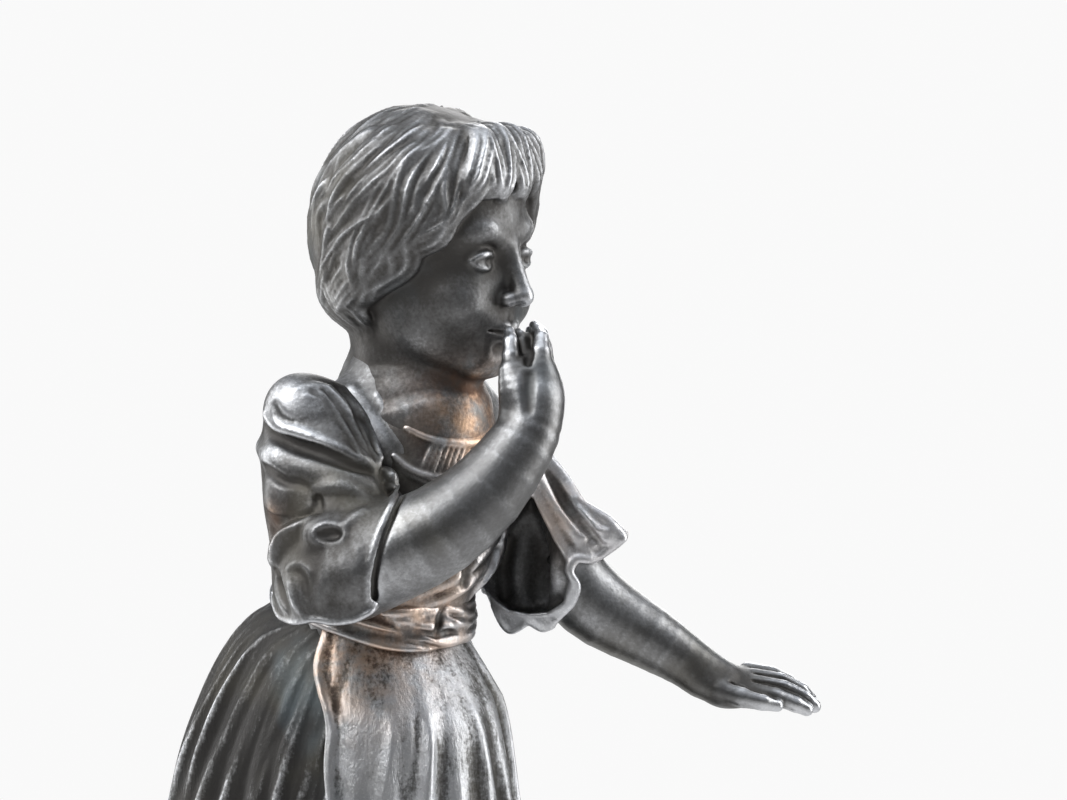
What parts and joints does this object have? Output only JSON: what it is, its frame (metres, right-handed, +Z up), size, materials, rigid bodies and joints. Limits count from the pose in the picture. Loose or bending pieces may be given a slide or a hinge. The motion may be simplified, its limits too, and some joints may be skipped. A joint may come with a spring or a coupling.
{
  "type": "bronze statuette",
  "caption": "Cast bronze statuette of a girl in a gathered dress and apron, one hand at her lips and one held out, on a round stone socle.",
  "frame": {"origin": "centre of the felt pad's underside, on the socle's axis", "axes": "+Z up; -Y is the way the figure's chest faces; +X is the figure's left"},
  "size_m": [0.1234, 0.104, 0.327],
  "materials": {
    "bronze": "silvered cast bronze, rubbed bright on the high points and dark in the hollows",
    "warm_bronze": "cast bronze with the silvering worn through to a warm brown",
    "stone": "polished dark marble",
    "felt": "green felt",
    "steel": "turned steel",
    "brass_fitting": "turned brass"
  },
  "bodies": {
    "root": {"felt_pad": "felt", "socle": "stone", "tie_rod": "steel", "tie_washer": "steel", "tie_nut": "brass_fitting", "ground": "bronze", "foot_screws": "steel", "right_leg": "bronze", "left_leg": "bronze", "leg_bridge": "bronze", "leg_screws": "steel", "bridge_screws": "steel", "skirt": "bronze", "apron": "bronze", "waist_bolt": "steel", "waist_nut": "brass_fitting", "sash": "bronze", "apron_bow": "bronze", "bodice": "bronze", "chemisette": "warm_bronze", "right_sleeve": "bronze", "left_sleeve": "bronze", "right_shoulder_screw": "steel", "left_shoulder_screw": "steel", "right_forearm": "bronze", "left_forearm": "bronze", "right_elbow_pin": "brass_fitting", "left_elbow_pin": "brass_fitting", "head": "bronze", "neck_pin": "brass_fitting"}
  },
  "joints": []
}
